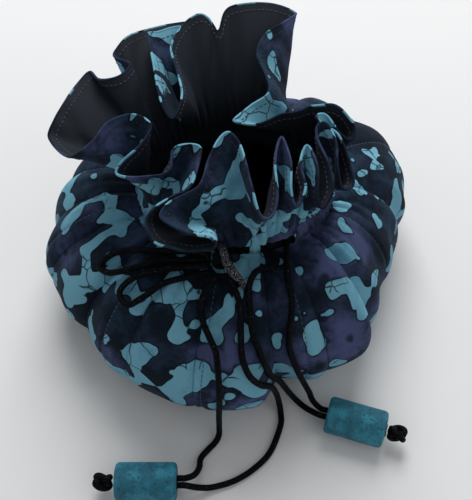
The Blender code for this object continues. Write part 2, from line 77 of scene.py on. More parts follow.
def mathNode(tree, operation, first, second=None, third=None):
    made = addNode(tree, "ShaderNodeMath", operation=operation)
    for socket, value in zip(made.inputs, (first, second, third)):
        if value is None:
            continue
        if hasattr(value, "is_output"):
            tree.links.new(value, socket)
        else:
            socket.default_value = value
    return made.outputs[0]


def mixColour(tree, share, first, second):
    made = addNode(tree, "ShaderNodeMix", data_type="RGBA")
    for socket, value in zip((made.inputs[0], made.inputs[6], made.inputs[7]), (share, first, second)):
        if hasattr(value, "is_output"):
            tree.links.new(value, socket)
        elif isinstance(value, (int, float)):
            socket.default_value = value
        else:
            socket.default_value = (*value, 1)
    return made.outputs[2]


def smoothStep(tree, value, low, high):
    made = addNode(tree, "ShaderNodeMapRange", interpolation_type="SMOOTHSTEP")
    tree.links.new(value, made.inputs["Value"])
    made.inputs["From Min"].default_value = low
    made.inputs["From Max"].default_value = high
    return made.outputs["Result"]


def noiseNode(tree, vector, scale, detail, roughness=0.5):
    made = addNode(tree, "ShaderNodeTexNoise")
    made.inputs["Scale"].default_value = scale
    made.inputs["Detail"].default_value = detail
    made.inputs["Roughness"].default_value = roughness
    tree.links.new(vector, made.inputs["Vector"])
    return made


def voronoiNode(tree, vector, scale, feature="F1"):
    made = addNode(tree, "ShaderNodeTexVoronoi", feature=feature)
    made.inputs["Scale"].default_value = scale
    tree.links.new(vector, made.inputs["Vector"])
    return made


def addBump(tree, shader, height, strength, distance):
    bump = addNode(tree, "ShaderNodeBump")
    bump.inputs["Strength"].default_value = strength
    bump.inputs["Distance"].default_value = distance
    tree.links.new(height, bump.inputs["Height"])
    tree.links.new(bump.outputs[0], shader.inputs["Normal"])


def arrangeNodes(tree):  # each node stands in a column left of the nodes that it feeds
    columns = {node.name: 0 for node in tree.nodes}
    for step in tree.nodes:
        for link in tree.links:
            columns[link.from_node.name] = max(columns[link.from_node.name], columns[link.to_node.name] + 1)
    filled = {}
    for node in tree.nodes:
        column = columns[node.name]
        filled[column] = filled.get(column, 0) + 1
        node.location = (-240 * column, -280 * filled[column])


def meshPiece(name, points, faces, finish, uvs=None):
    mesh = bpy.data.meshes.new(name)
    mesh.from_pydata([tuple(p) for p in points], [], faces)
    if uvs is not None:
        layer = mesh.uv_layers.new(name="flatCloth")
        corners = np.empty(len(mesh.loops), int)
        mesh.loops.foreach_get("vertex_index", corners)
        layer.data.foreach_set("uv", np.asarray(uvs)[corners].reshape(-1))
    mesh.materials.append(finish)
    made = bpy.data.objects.new(name, mesh)
    bpy.context.collection.objects.link(made)
    mesh.shade_smooth()
    return made


# Camera
cameraPlace = {"eye": (0.0020, -0.2049, 0.3473), "aim": (0.0020, -0.0035, 0.0250), "lens": 63.65}
camera = bpy.data.objects.new("camera", bpy.data.cameras.new("camera"))
bpy.context.collection.objects.link(camera)
camera.location = cameraPlace["eye"]
camera.rotation_euler = (Vector(cameraPlace["aim"]) - camera.location).to_track_quat("-Z", "Y").to_euler()
camera.data.lens = cameraPlace["lens"]
camera.data.sensor_width = 36
bpy.context.scene.camera = camera
print("camera placed")

# Shared effects
weaveLook = {"pitch": 0.00042, "slub": 0.35, "slubScale": 1400, "crossing": 0.5}
# The pattern's scales are in spots a metre, its reaches in metres, and each edge is where a soft step starts and ends
batikPattern = {
    "bendScale": 48, "bendReach": 0.009, "patchScale": 30, "gather": 0.36, "blotchScale": 102, "blotchEdge": (0.418, 0.430),
    "pinchScale": 135, "pinchSoftness": 0.25, "pinch": 0.30, "rimEdge": (0.350, 0.412), "rimShare": 0.85,
    "crackScale": 105, "crackBendScale": 160, "crackReach": 0.004, "crackEdge": (0.012, 0.036), "crackShare": 0.85,
    "brokenScale": 70, "brokenEdge": (0.46, 0.54), "mottleScale": 60, "mottleRoughness": 0.66, "slateEdge": (0.42, 0.68),
    "hazeScale": 17, "hazeEdge": (0.44, 0.60), "hazeMottle": (0.34, 0.66), "shadeEdge": (0.46, 0.74),
}


def makeWeave():  # threads over and under each other, seen as a height and as a faint tone
    tree, start, end = newGroup(
        "clothWeave",
        [("Pitch", "NodeSocketFloat", weaveLook["pitch"]), ("Slub", "NodeSocketFloat", weaveLook["slub"])],
        [("Height", "NodeSocketFloat"), ("Tone", "NodeSocketFloat")],
    )
    uv = addNode(tree, "ShaderNodeUVMap", uv_map="flatCloth")
    parts = addNode(tree, "ShaderNodeSeparateXYZ")
    tree.links.new(uv.outputs[0], parts.inputs[0])
    turns = mathNode(tree, "DIVIDE", 2 * math.pi, start.outputs["Pitch"])
    waves = []
    for axis in (0, 1):
        angle = mathNode(tree, "MULTIPLY", parts.outputs[axis], turns)
        waves.append(mathNode(tree, "SINE", angle))
    crossed = mathNode(tree, "MULTIPLY", waves[0], waves[1])
    noise = noiseNode(tree, uv.outputs[0], weaveLook["slubScale"], 2)
    slub = mathNode(tree, "MULTIPLY", noise.outputs["Fac"], start.outputs["Slub"])
    crossed = mathNode(tree, "MULTIPLY", crossed, weaveLook["crossing"])
    height = mathNode(tree, "ADD", crossed, slub)
    tree.links.new(height, end.inputs["Height"])
    tree.links.new(noise.outputs["Fac"], end.inputs["Tone"])
    return tree


def makeBatik():  # wax-resist blotches on a mottled dark ground
    colours = ("Blotch Colour", "Blotch Shade", "Ground Dark", "Ground Slate", "Ground Purple")
    tree, start, end = newGroup(
        "batikBlotches",
        [(name, "NodeSocketColor", None) for name in colours] + [("Shift", "NodeSocketVector", None)],
        [("Colour", "NodeSocketColor"), ("Mask", "NodeSocketFloat")],
    )
    look = batikPattern
    where = addNode(tree, "ShaderNodeTexCoord")
    place = addNode(tree, "ShaderNodeVectorMath", operation="ADD")
    tree.links.new(where.outputs["Object"], place.inputs[0])
    tree.links.new(start.outputs["Shift"], place.inputs[1])

    def bend(vector, scale, reach):  # pushes places about, so that outlines wander
        warp = noiseNode(tree, vector, scale, 1)
        centred = addNode(tree, "ShaderNodeVectorMath", operation="SUBTRACT")
        centred.inputs[1].default_value = (0.5, 0.5, 0.5)
        tree.links.new(warp.outputs["Color"], centred.inputs[0])
        scaled = addNode(tree, "ShaderNodeVectorMath", operation="SCALE")
        scaled.inputs["Scale"].default_value = reach
        tree.links.new(centred.outputs[0], scaled.inputs[0])
        bent = addNode(tree, "ShaderNodeVectorMath", operation="ADD")
        tree.links.new(vector, bent.inputs[0])
        tree.links.new(scaled.outputs[0], bent.inputs[1])
        return bent.outputs[0]

    def noiseOf(vector, scale, detail, roughness=0.5):
        return noiseNode(tree, vector, scale, detail, roughness).outputs["Fac"]

    def times(first, second):
        return mathNode(tree, "MULTIPLY", first, second)

    bent = bend(place.outputs[0], look["bendScale"], look["bendReach"])
    patches = noiseOf(place.outputs[0], look["patchScale"], 0)  # where blotches gather, and where there are none
    gather = mathNode(tree, "MULTIPLY_ADD", patches, look["gather"], -look["gather"] / 2)
    field = noiseOf(bent, look["blotchScale"], 0)
    chain = voronoiNode(tree, bent, look["pinchScale"], "SMOOTH_F1")  # pinches the blotches into chains
    chain.inputs["Smoothness"].default_value = look["pinchSoftness"]
    inside = mathNode(tree, "ADD", field, gather)
    pinch = times(chain.outputs["Distance"], look["pinch"])
    inside = mathNode(tree, "SUBTRACT", inside, pinch)
    mask = smoothStep(tree, inside, *look["blotchEdge"])
    rim = smoothStep(tree, inside, *look["rimEdge"])
    crackPlace = bend(place.outputs[0], look["crackBendScale"], look["crackReach"])
    cracks = voronoiNode(tree, crackPlace, look["crackScale"], "DISTANCE_TO_EDGE")
    beside = smoothStep(tree, cracks.outputs["Distance"], *look["crackEdge"])
    crackLine = mathNode(tree, "SUBTRACT", 1, beside)
    broken = noiseOf(place.outputs[0], look["brokenScale"], 0)
    crackLine = times(crackLine, smoothStep(tree, broken, *look["brokenEdge"]))
    mottle = noiseOf(place.outputs[0], look["mottleScale"], 6, look["mottleRoughness"])
    haze = noiseOf(bent, look["hazeScale"], 2)
    slate = smoothStep(tree, mottle, *look["slateEdge"])
    ground = mixColour(tree, slate, start.outputs["Ground Dark"], start.outputs["Ground Slate"])
    hazy = times(smoothStep(tree, haze, *look["hazeEdge"]), smoothStep(tree, mottle, *look["hazeMottle"]))
    ground = mixColour(tree, hazy, ground, start.outputs["Ground Purple"])
    ground = mixColour(tree, times(rim, look["rimShare"]), ground, start.outputs["Ground Dark"])
    shade = smoothStep(tree, mottle, *look["shadeEdge"])
    tint = mixColour(tree, shade, start.outputs["Blotch Colour"], start.outputs["Blotch Shade"])
    tint = mixColour(tree, times(crackLine, look["crackShare"]), tint, start.outputs["Ground Dark"])
    colour = mixColour(tree, mask, ground, tint)
    tree.links.new(colour, end.inputs["Colour"])
    tree.links.new(mask, end.inputs["Mask"])
    return tree


weaveGroup = makeWeave()
batikGroup = makeBatik()
print("shared effects made")

# Finishes: bump is the strength and the distance in metres, and each edge is where a soft step starts and ends
batikLook = {
    "Blotch Colour": (0.195, 0.480, 0.620, 1), "Blotch Shade": (0.100, 0.290, 0.420, 1),
    "Ground Dark": (0.0020, 0.0060, 0.0140, 1), "Ground Slate": (0.0170, 0.0420, 0.0820, 1),
    "Ground Purple": (0.0850, 0.1000, 0.2300, 1), "Shift": (0.013, 0.007, 0.004),
}
batikSurface = {
    "slub": (0.016, 0.026, 0.042), "slubShare": 0.30, "roughness": 0.86, "specular": 0.12, "bump": (0.5, 0.00012),
    "sheen": 0.04, "sheenRoughness": 0.4, "sheenTint": (0.50, 0.68, 1.0, 1),
}
liningLook = {
    "colour": (0.0036, 0.0064, 0.0112), "tone": (0.0092, 0.0152, 0.0250), "pitch": 0.0004,
    "roughness": 0.70, "specular": 0.22, "bump": (0.4, 0.00012), "sheen": 0.05, "sheenTint": (0.6, 0.72, 1.0, 1),
}
# The cord's glint colour is a painted highlight on single threads, mixed into its base colour
cordLook = {
    "colour": (0.0008, 0.0011, 0.0020), "light": (0.0048, 0.0056, 0.0088), "glint": (0.34, 0.36, 0.40),
    "lightScale": 900, "lightEdge": (0.45, 0.7), "braidScale": 1150, "threadScale": 3200, "glintSpan": 0.06,
    "fewGlints": 0.70, "manyGlints": 0.56, "roughness": 0.60, "specular": 0.07, "bump": (0.7, 0.0002),
}
beadLook = {
    "colour": (0.008, 0.118, 0.180), "light": (0.022, 0.225, 0.315), "speck": (0.003, 0.028, 0.044), "speckShare": 0.7,
    "lightScale": 160, "lightEdge": (0.4, 0.65), "speckScale": 1100, "speckEdge": (0.58, 0.68), "pitScale": 900,
    "roughness": 0.75, "bump": (0.8, 0.00025),
}


def makeBatikCotton():
    made, tree, shader = newMaterial("batikCotton")
    weave = useGroup(tree, weaveGroup)
    batik = useGroup(tree, batikGroup, **batikLook)
    slub = mathNode(tree, "MULTIPLY", weave.outputs["Tone"], batikSurface["slubShare"])
    toned = mixColour(tree, slub, batik.outputs["Colour"], batikSurface["slub"])
    tree.links.new(toned, shader.inputs["Base Color"])
    addBump(tree, shader, weave.outputs["Height"], *batikSurface["bump"])
    shader.inputs["Roughness"].default_value = batikSurface["roughness"]
    shader.inputs["Sheen Weight"].default_value = batikSurface["sheen"]
    shader.inputs["Sheen Roughness"].default_value = batikSurface["sheenRoughness"]
    shader.inputs["Sheen Tint"].default_value = batikSurface["sheenTint"]
    shader.inputs["Specular IOR Level"].default_value = batikSurface["specular"]
    return made


def makeLiningCotton():
    made, tree, shader = newMaterial("blackCotton")
    weave = useGroup(tree, weaveGroup, Pitch=liningLook["pitch"])
    colour = mixColour(tree, weave.outputs["Tone"], liningLook["colour"], liningLook["tone"])
    tree.links.new(colour, shader.inputs["Base Color"])
    addBump(tree, shader, weave.outputs["Height"], *liningLook["bump"])
    shader.inputs["Roughness"].default_value = liningLook["roughness"]
    shader.inputs["Sheen Weight"].default_value = liningLook["sheen"]
    shader.inputs["Sheen Tint"].default_value = liningLook["sheenTint"]
    shader.inputs["Specular IOR Level"].default_value = liningLook["specular"]
    return made


def makeCordSatin(name, glintFrom):
    made, tree, shader = newMaterial(name)
    place = addNode(tree, "ShaderNodeTexCoord").outputs["Object"]
    noise = noiseNode(tree, place, cordLook["lightScale"], 3)
    braid = voronoiNode(tree, place, cordLook["braidScale"])
    light = smoothStep(tree, noise.outputs["Fac"], *cordLook["lightEdge"])
    colour = mixColour(tree, light, cordLook["colour"], cordLook["light"])
    threads = noiseNode(tree, place, cordLook["threadScale"], 2)  # painted glints: single threads painted light, as if they caught the light
    glintTo = glintFrom + cordLook["glintSpan"]
    glints = smoothStep(tree, threads.outputs["Fac"], glintFrom, glintTo)
    colour = mixColour(tree, glints, colour, cordLook["glint"])
    tree.links.new(colour, shader.inputs["Base Color"])
    addBump(tree, shader, braid.outputs["Distance"], *cordLook["bump"])
    shader.inputs["Roughness"].default_value = cordLook["roughness"]
    shader.inputs["Specular IOR Level"].default_value = cordLook["specular"]
    return made


def makeBeadPaint():
    made, tree, shader = newMaterial("speckledBead")
    place = addNode(tree, "ShaderNodeTexCoord").outputs["Object"]
    fine = noiseNode(tree, place, beadLook["speckScale"], 3)
    broad = noiseNode(tree, place, beadLook["lightScale"], 3)
    pits = voronoiNode(tree, place, beadLook["pitScale"])
    light = smoothStep(tree, broad.outputs["Fac"], *beadLook["lightEdge"])
    tone = mixColour(tree, light, beadLook["colour"], beadLook["light"])
    specks = smoothStep(tree, fine.outputs["Fac"], *beadLook["speckEdge"])
    seen = mathNode(tree, "MULTIPLY", specks, beadLook["speckShare"])
    tone = mixColour(tree, seen, tone, beadLook["speck"])
    tree.links.new(tone, shader.inputs["Base Color"])
    height = mathNode(tree, "SUBTRACT", pits.outputs["Distance"], specks)
    addBump(tree, shader, height, *beadLook["bump"])
    shader.inputs["Roughness"].default_value = beadLook["roughness"]
    return made


batikCotton = makeBatikCotton()
blackCotton = makeLiningCotton()
cordSatin = makeCordSatin("cordSatin", cordLook["fewGlints"])
cordBright = makeCordSatin("cordBright", cordLook["manyGlints"])
beadPaint = makeBeadPaint()
finishes = {"batik_cotton": batikCotton, "black_cotton": blackCotton, "cord_satin": cordSatin, "speckled_bead": beadPaint}
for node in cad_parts.values():
    for place, old in enumerate(node.data.materials):
        for name, new in finishes.items():
            if old and name in old.name:
                node.data.materials[place] = new
print("finishes made")

# The body's outline, which the cloth and the cords on it share
body = {
    "halfWidth": 0.0765, "halfDepth": 0.0680, "height": 0.0600, "neckHalfWidth": 0.0360, "neckHalfDepth": 0.0270,
    "baseBulge": 0.4, "bulgeFade": 0.0220,
}
# The filling bulges it out of its ellipse: azimuth in degrees from +X, and how far at the widest in millimetres
bulges = (
    (7, -3.5), (14, 2.0), (28, 9.0), (42, 13.0), (58, 12.0), (80, 6.5), (110, 5.0), (150, 1.0), (178, 0.0),
    (193, 2.5), (205, 1.0), (219, -1.0), (239, 5.5), (248, 5.0), (260, 7.5), (276, 6.0), (289, -4.0), (300, 0.0),
    (313, 1.0), (325, -4.5), (338, -9.0), (351, -8.0),
)


def valuesAround(degrees, pairs):  # the values before and after each azimuth, and the share of the way between them
    starts = np.array([pair[0] for pair in pairs] + [pairs[0][0] + 360], float)
    values = np.array([pair[1] for pair in pairs] + [pairs[0][1]])
    turned = (degrees - starts[0]) % 360 + starts[0]
    place = np.clip(np.searchsorted(starts, turned, side="right") - 1, 0, len(pairs) - 1)
    return values[place], values[place + 1], (turned - starts[place]) / (starts[place + 1] - starts[place])


def bulgeAt(angles):
    before, after, share = valuesAround(np.degrees(angles), bulges)
    return before * mm + (after * mm - before * mm) * (1 - np.cos(math.pi * share)) / 2


def restOnBody(route):  # moved out with the bulges where it lies on the body or close by it
    moved = []
    for point in np.array(route, float):
        angle = math.atan2(point[1], point[0])
        out = np.array([math.cos(angle), math.sin(angle)])
        reach = np.linalg.norm(point[:2])
        neck = 1 / np.linalg.norm(out / (body["neckHalfWidth"], body["neckHalfDepth"]))
        widest = 1 / np.linalg.norm(out / (body["halfWidth"], body["halfDepth"]))
        onBody = min(max((reach - neck) / (widest - neck), 0), 1)
        beyond = min(max((reach - widest) / body["bulgeFade"], 0), 1)
        moved.append(point + np.array([*out, 0]) * bulgeAt(np.array([angle]))[0] * onBody * (1 - beyond))
    return moved


# Cords
cordSizes = {"diameter": 0.0025, "apart": 0.0028, "lead": 0.003, "beyond": 0.0006, "step": 0.0016}
beads = {
    "left": {"end": (-0.0210, -0.0990), "turn": 180, "length": 0.0240, "diameter": 0.0150, "hole": 0.0059},
    "right": {"end": (0.0390, -0.0710), "turn": -17, "length": 0.0240, "diameter": 0.0150, "hole": 0.0059},
}
loopRoutes = {
    "bow_loop_upper": (
        (-0.0077, -0.0312, 0.0672), (-0.015, -0.0283, 0.0644), (-0.025, -0.0272, 0.0624), (-0.033, -0.0266, 0.0617),
        (-0.040, -0.0252, 0.0594), (-0.046, -0.0260, 0.0576), (-0.0503, -0.0294, 0.0552), (-0.0476, -0.0332, 0.0560),
        (-0.042, -0.0342, 0.0584), (-0.033, -0.0326, 0.0609), (-0.025, -0.0304, 0.0616), (-0.015, -0.0312, 0.0632),
        (-0.0077, -0.0313, 0.0642),
    ),
    "bow_loop_lower": (
        (-0.0077, -0.0343, 0.0658), (-0.015, -0.0340, 0.0634), (-0.024, -0.0336, 0.0614), (-0.0324, -0.0356, 0.0602),
        (-0.0385, -0.0380, 0.0582), (-0.0418, -0.0418, 0.0558), (-0.0378, -0.0450, 0.0546), (-0.031, -0.0420, 0.0568),
        (-0.0245, -0.0382, 0.0594), (-0.0155, -0.0370, 0.0620), (-0.0077, -0.0352, 0.0626),
    ),
}
tailRoutes = {
    "tail_left_a": (
        (-0.0052, -0.0374, 0.0632), (-0.0082, -0.0404, 0.0612), (-0.010, -0.044, 0.0588), (-0.0096, -0.0494, 0.0560),
        (-0.007, -0.0548, 0.0536), (-0.005, -0.0588, 0.0510), (-0.0042, -0.0640, 0.0460), (-0.0039, -0.0680, 0.0380),
        (-0.004, -0.0698, 0.0290), (-0.0043, -0.0698, 0.0180), (-0.0044, -0.0702, 0.0080), (-0.0046, -0.0726, 0.0022),
        (-0.006, -0.0765, 0.0014), (-0.0086, -0.0806, 0.0014), (-0.012, -0.0865, 0.0014), (-0.0126, -0.0915, 0.0026),
        (-0.0144, -0.0956, 0.0054),
    ),
    "tail_left_b": (
        (-0.0008, -0.0374, 0.0634), (0.001, -0.0404, 0.0618), (0.0034, -0.0468, 0.0596), (0.0035, -0.0546, 0.0548),
        (0.004, -0.0608, 0.0494), (0.0065, -0.0652, 0.0442), (0.0106, -0.0673, 0.0389), (0.0154, -0.0679, 0.0292),
        (0.0186, -0.0676, 0.0160), (0.0204, -0.0678, 0.0060), (0.0212, -0.0704, 0.0016), (0.0206, -0.0750, 0.0014),
        (0.0158, -0.0840, 0.0014), (0.0096, -0.0915, 0.0014), (0.0016, -0.0966, 0.0014), (-0.007, -0.0994, 0.0019),
        (-0.0126, -0.1004, 0.0046),
    ),
    "tail_right_c": (
        (0.0149, -0.0278, 0.0621), (0.0170, -0.0296, 0.0622), (0.0172, -0.0330, 0.0624), (0.014, -0.0354, 0.0624),
        (0.0098, -0.0366, 0.0622), (0.0068, -0.0400, 0.0614), (0.0066, -0.0467, 0.0594), (0.0076, -0.0544, 0.0546),
        (0.0098, -0.0592, 0.0500), (0.012, -0.0635, 0.0456), (0.0152, -0.0664, 0.0364), (0.0198, -0.0674, 0.0262),
        (0.0228, -0.0664, 0.0160), (0.0256, -0.0652, 0.0070), (0.0286, -0.0658, 0.0026), (0.0316, -0.0688, 0.0046),
    ),
    "tail_right_d": (
        (0.0212, -0.0257, 0.0621), (0.0212, -0.0286, 0.0623), (0.0213, -0.0334, 0.0624), (0.0215, -0.0392, 0.0614),
        (0.023, -0.0462, 0.0586), (0.0234, -0.0526, 0.0546), (0.0232, -0.0608, 0.0448), (0.025, -0.0640, 0.0380),
        (0.0276, -0.0660, 0.0300), (0.0304, -0.0656, 0.0200), (0.0322, -0.0642, 0.0116), (0.0336, -0.0664, 0.0088),
    ),
}


def smoothRoute(route, step):  # evenly spaced points on a smooth curve through a route
    points = [np.array(point, float) for point in route]
    points = [2 * points[0] - points[1]] + points + [2 * points[-1] - points[-2]]
    fine = []
    for a, b, c, d in zip(points, points[1:], points[2:], points[3:]):
        for share in np.arange(0, 1, 0.05):
            bend = (2 * a - 5 * b + 4 * c - d) * share**2 + (3 * b - a - 3 * c + d) * share**3
            fine.append(0.5 * (2 * b + (c - a) * share + bend))
    fine = np.array(fine + [points[-2]])
    lengths = np.concatenate([[0], np.cumsum(np.linalg.norm(np.diff(fine, axis=0), axis=1))])
    wanted = np.linspace(0, lengths[-1], max(2, round(lengths[-1] / step) + 1))
    return np.stack([np.interp(wanted, lengths, fine[:, axis]) for axis in range(3)], axis=1), lengths[-1]


def tube(name, points, diameter, finish):
    curve = bpy.data.curves.new(name, "CURVE")
    curve.dimensions = "3D"
    curve.bevel_depth = diameter / 2
    curve.bevel_resolution = 4
    curve.use_fill_caps = True
    spline = curve.splines.new("POLY")
    spline.points.add(len(points) - 1)
    for place, point in zip(spline.points, points):
        place.co = (*point, 1)
    curve.materials.append(finish)
    made = bpy.data.objects.new(name, curve)
    bpy.context.collection.objects.link(made)
    for part in curve.splines:
        part.use_smooth = True
    return made


def beadFrame(bead):
    angle = math.radians(bead["turn"])
    along = np.array([math.cos(angle), math.sin(angle), 0])
    return along, np.array([-along[1], along[0], 0]), np.array([*bead["end"], bead["diameter"] / 2])


def layCord(name, route, step):
    points, length = smoothRoute(route, step)
    piece = tube(name.replace("_", " ").title().replace(" ", ""), points, cordSizes["diameter"], cordSatin)
    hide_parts(name)
    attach(piece, "pouch")
    return piece, route[0], length


tailPieces = {}
for name, route in tailRoutes.items():
    side = name.split("_")[1]
    beside = -1 if name[-1] in "ac" else 1
    along, across, end = beadFrame(beads[side])
    hole = end + across * cordSizes["apart"] / 2 * beside
    through = hole + along * (beads[side]["length"] + cordSizes["beyond"])
    route = restOnBody(route) + [hole - along * cordSizes["lead"], hole, through]
    tailPieces[name] = layCord(name, route, cordSizes["step"])
loopPieces = {name: layCord(name, restOnBody(route), cordSizes["step"] / 2) for name, route in loopRoutes.items()}
print("cords laid")

# Cloth
cloth = {
    "outerStandsOff": 0.00055, "liningStandsOff": 0.00055, "thinnedBy": 0.35,
    "baseLift": 0.00055, "outerBase": 0.2, "liningBase": 1.9, "baseRings": (0.02, 0.3, 0.6, 0.85, 1.0),
    "baseHalfWidth": 0.0500, "baseHalfDepth": 0.0440, "foldDepth": 0.0042, "valleySharpness": 0.6, "neck": (0.0020, 0.0010),
    "frillFlare": 1.6, "frillRise": 0.8,
    "channelBottom": 0.0595, "channelTop": 0.0674, "channelRoom": 0.00140, "channelPleat": 0.0013,
    "columns": 1000, "bodyRows": 52, "channelRows": 7, "frillRows": 30,
}
# Valleys between the puffs: azimuth in degrees from +X, and how deep each one is
valleys = (
    (8, 0.75), (27, 0.3), (47, 0.5), (66, 0.55), (86, 0.6), (105, 0.6), (124, 0.6), (143, 0.6), (160, 0.55),
    (178, 0.55), (196, 0.75), (217, 1.3), (238, 0.8), (258, 1.0), (284, 1.2), (300, 1.0), (322, 1.25), (345, 0.35),
)
# Creases that run down from the neck and fade out on the body
creases = {"seed": 11, "count": 54, "depth": 0.0019, "narrow": 1.6, "wide": 4.2, "drift": 9.0}
# Small waves, in metres, and how far the valleys wander, in degrees
waves = {"neck": 0.0008, "body": 0.0010, "gathers": 0.0009, "frill": 0.0005, "wander": 2.6}
# Seams that sew the pockets down: azimuths, where each starts and ends on the body, and how far it pulls the cloth in
seams = {"azimuths": (33, 75, 118, 160, 189, 229, 262, 294, 344), "from": 0.12, "to": 0.86, "depth": 0.0007, "width": 0.9}
# The body from the base up: shares of its height, of the way from the neck's outline to the widest, and of the fold depth
bodyProfile = (
    (0.02, 0.560, 0.10), (0.11, 0.805, 0.35), (0.28, 0.963, 0.60), (0.48, 1.000, 0.80), (0.68, 0.915, 0.95),
    (0.85, 0.720, 1.00), (0.97, 0.440, 0.90), (1.00, 0.195, 0.65), (0.98, 0.050, 0.35),
)
# The hem: azimuth of the gather below, then its place from the neck's middle at the channel's top, in millimetres
hem = (
    (184, -61, -4, 22), (188, -52, -3, 29), (192, -46, 3, 33), (195, -37, 5, 35), (198, -30, -1, 36),
    (200, -33, -7, 34), (203, -41, -13, 30), (206, -42, -17, 28), (209, -33, -20, 30), (213, -24, -18, 32),
    (216, -22, -11, 34), (219, -18, -9, 35), (222, -13, -9, 34), (225, -13, -14, 33), (227, -16, -24, 30.5),
    (229, -22, -28, 30), (231.5, -28, -32, 29), (235, -31, -36, 27), (239, -29.5, -40.5, 24.5), (243, -26, -43.5, 23),
    (247, -20, -45, 22.5), (250.5, -14, -45.5, 22.5), (254, -8.5, -45, 23.5), (256.5, -7, -43, 25),
    (258, -9.5, -42, 27), (260, -16, -41.5, 27.5), (262, -22, -39.5, 28.5), (263.5, -26, -36, 29.5),
    (265, -23.5, -31.5, 30.5), (266.5, -17.5, -28.5, 31.5), (268, -13, -26, 32.5), (269, -11, -22, 33.5),
    (270, -9.5, -15.5, 35), (271, -6, -8, 37), (272.5, -2, -6, 38), (274, 2, -12, 38), (276, 5, -25, 36),
    (279, 8, -36, 31), (282, 12, -37, 31), (284, 14, -31, 34), (287, 14, -18, 37), (290, 16, -8, 38),
    (293, 19, -17, 36), (295, 19, -27, 33), (298, 21, -33, 31), (301, 24, -27, 34), (303, 22, -18, 36),
    (306, 25, -11, 37), (308, 28, -19, 35), (310, 28, -29, 31), (313, 30, -32, 29), (315, 33, -27, 32),
    (318, 32, -18, 35), (321, 29, -9, 37), (324, 29, -3, 38), (327, 32, -2, 38), (330, 35, -9, 36),
    (333, 36, -17, 33), (336, 37, -24, 29), (339, 41, -22, 28), (342, 41, -16, 29), (345, 39, -9, 32),
    (348, 36, -4, 35), (351, 31, 0, 35), (353, 29, 5, 34), (355, 33, 7, 32), (357, 38, 1, 29), (359, 42, -1, 28),
    (362, 43, 4, 30), (366, 38, 10, 33), (372, 31, 11, 33), (382, 17, 7, 32), (388, 7, 4, 31), (394, -1, 5, 31),
    (398, 5, 12, 31), (402, 12, 17, 33), (406, 11, 27, 34), (410, 8, 37, 34), (414, 12, 47, 34), (417, 18, 54, 32),
    (422, 24, 63, 29), (430, 14, 66, 31), (437, 3, 62, 35), (444, -4, 60, 33), (450, -7, 52, 30), (457, -11, 57, 32),
    (463, -15, 58, 33), (467.5, -21, 54, 31), (471, -25, 42, 31.5), (474, -22, 28, 32), (476.5, -20, 15, 33),
    (478.5, -23, 5, 32), (480.5, -28, 14, 32), (482.5, -32, 36, 31), (484, -33.5, 46, 30.5), (485.2, -34.5, 50, 31),
    (486.4, -31, 51.5, 30), (487.6, -25.7, 53.7, 30), (488.7, -20, 56, 29), (489.8, -15, 60.5, 26.5),
    (490.8, -17, 62.5, 25), (492.5, -30, 60, 25), (496, -40, 54, 27), (500, -45.5, 49, 26.5), (505, -48, 43, 25),
    (509, -41, 36, 28), (512, -45, 31, 27), (516, -53, 31, 25), (519, -57, 37, 23), (523, -61, 33, 22),
    (528, -65, 24, 22), (533, -69, 16, 20), (539, -71, 8, 17),
)
print("cloth sizes read")


def wave(angle, *parts):  # a sum of sines round the pouch: pairs of count and shift
    return sum(np.sin(count * angle + shift + 1.7 * np.sin(3 * angle + shift)) for count, shift in parts) / len(parts)


def ease(value, low, high):
    share = np.clip((value - low) / (high - low), 0, 1)
    return share * share * (3 - 2 * share)


def ringPoints(angles, halfWidth, halfDepth, share, z, bulgeShare=0.0):
    bulge = bulgeAt(angles) * bulgeShare
    x = cloth["neck"][0] * share + (halfWidth + bulge) * np.cos(angles)
    y = cloth["neck"][1] * share + (halfDepth + bulge) * np.sin(angles)
    return np.stack([x, y, np.full(len(angles), z)], axis=1)


def curveThrough(times, values, wanted):  # a smooth curve through values at uneven times
    times = np.asarray(times, float)
    values = np.asarray(values, float)
    place = np.clip(np.searchsorted(times, wanted, side="right") - 1, 1, len(times) - 3)
    span = times[place + 1] - times[place]
    leave = (values[place + 1] - values[place - 1]) / (times[place + 1] - times[place - 1])[:, None] * span[:, None]
    reach = (values[place + 2] - values[place]) / (times[place + 2] - times[place])[:, None] * span[:, None]
    t = ((wanted - times[place]) / span)[:, None]
    return (
        (2 * t**3 - 3 * t**2 + 1) * values[place] + (t**3 - 2 * t**2 + t) * leave
        + (3 * t**2 - 2 * t**3) * values[place + 1] + (t**3 - t**2) * reach
    )


def valleyDepths(degrees):  # 1 in a valley's bottom and 0 on a ridge, and how deep the valleys near by are
    before, after, share = valuesAround(degrees, valleys)
    form = 1 - np.sin(np.pi * np.clip(share, 1e-4, 1 - 1e-4)) ** cloth["valleySharpness"]
    return form, before * (1 - share) + after * share


def hemPoints(degrees):
    first = hem[0][0]
    loop = [(a - 360, x, y, z) for a, x, y, z in hem[-3:]] + list(hem) + [(a + 360, x, y, z) for a, x, y, z in hem[:3]]
    points = curveThrough([p[0] for p in loop], [p[1:] for p in loop], (degrees - first) % 360 + first)
    return points * mm + np.array([*cloth["neck"], cloth["channelTop"]])


def columnAngles(count):  # closer together where the hem folds most
    fine = np.linspace(0, 2 * np.pi, 7201)
    steps = np.linalg.norm(np.diff(hemPoints(np.degrees(fine)), axis=0), axis=1)
    run = np.concatenate([[0], np.cumsum(steps)])
    place = 0.5 * fine / fine[-1] + 0.5 * run / run[-1]
    return np.interp(np.arange(count) / count, place, fine)


def drawCreases():
    draw = np.random.default_rng(creases["seed"])
    found = []
    for number in range(creases["count"]):
        found.append({
            "azimuth": 360 * (number + draw.uniform(-0.45, 0.45)) / creases["count"],
            "width": draw.uniform(creases["narrow"], creases["wide"]),
            "depth": creases["depth"] * draw.uniform(-0.45, 1.0),
            "reach": draw.uniform(0.30, 0.72),
            "drift": draw.uniform(-creases["drift"], creases["drift"]),
        })
    return found


